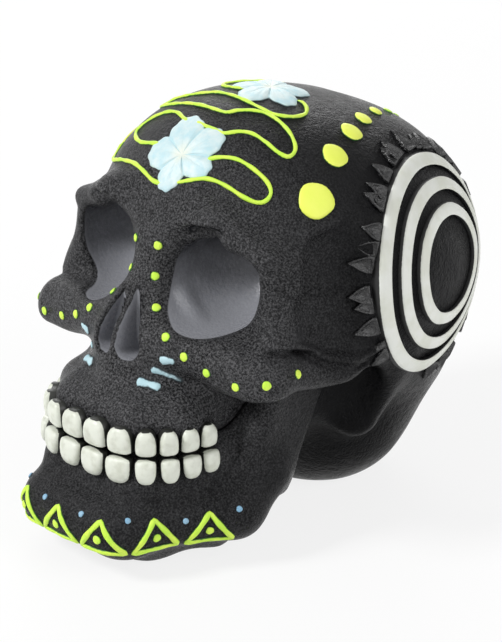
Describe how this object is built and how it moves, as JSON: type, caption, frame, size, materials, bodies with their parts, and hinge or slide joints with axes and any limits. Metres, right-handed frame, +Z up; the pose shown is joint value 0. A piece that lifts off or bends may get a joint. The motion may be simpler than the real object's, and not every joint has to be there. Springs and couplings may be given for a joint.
{
  "type": "sugar skull",
  "caption": "Black sugar skull shelf ornament with set teeth, raised side rings with pointed petals, and raised neon and pale blue icing ornament.",
  "frame": {"origin": "middle of the footprint of the whole skull, on the plane it stands on", "axes": "+X towards the skull's own left, +Y towards the back of the head, +Z up"},
  "size_m": [0.1524, 0.2078, 0.1783],
  "materials": {
    "resin": "satin black, fine grain",
    "enamel": "satin paint",
    "band": "matt paint",
    "neon": "matt paint",
    "blossom": "matt paint"
  },
  "bodies": {
    "root": {"cranium": "resin", "mandible": "resin", "upper_tooth_left_1": "enamel", "upper_tooth_left_2": "enamel", "upper_tooth_left_3": "enamel", "upper_tooth_left_4": "enamel", "upper_tooth_left_5": "enamel", "upper_tooth_left_6": "enamel", "upper_tooth_right_1": "enamel", "upper_tooth_right_2": "enamel", "upper_tooth_right_3": "enamel", "upper_tooth_right_4": "enamel", "upper_tooth_right_5": "enamel", "upper_tooth_right_6": "enamel", "lower_tooth_left_1": "enamel", "lower_tooth_left_2": "enamel", "lower_tooth_left_3": "enamel", "lower_tooth_left_4": "enamel", "lower_tooth_left_5": "enamel", "lower_tooth_left_6": "enamel", "lower_tooth_right_1": "enamel", "lower_tooth_right_2": "enamel", "lower_tooth_right_3": "enamel", "lower_tooth_right_4": "enamel", "lower_tooth_right_5": "enamel", "lower_tooth_right_6": "enamel", "ring_left_1": "band", "ring_left_2": "band", "ring_left_3": "band", "ring_right_1": "band", "ring_right_2": "band", "ring_right_3": "band", "spiked_collar_left": "resin", "spiked_collar_right": "resin", "crown_dot_left_1": "neon", "crown_dot_left_2": "neon", "crown_dot_left_3": "neon", "crown_dot_left_4": "neon", "crown_dot_left_5": "neon", "crown_dot_right_1": "neon", "crown_dot_right_2": "neon", "crown_dot_right_3": "neon", "crown_dot_right_4": "neon", "crown_dot_right_5": "neon", "forehead_flower": "blossom", "crown_flower": "blossom", "icing_brow_left": "neon", "icing_brow_right": "neon", "icing_temple_right": "neon", "icing_crest": "neon", "chin_triangle_1": "neon", "chin_triangle_2": "neon", "chin_triangle_3": "neon", "chin_triangle_4": "neon", "chin_triangle_5": "neon", "chin_triangle_6": "neon", "chin_triangle_7": "neon"}
  },
  "joints": []
}
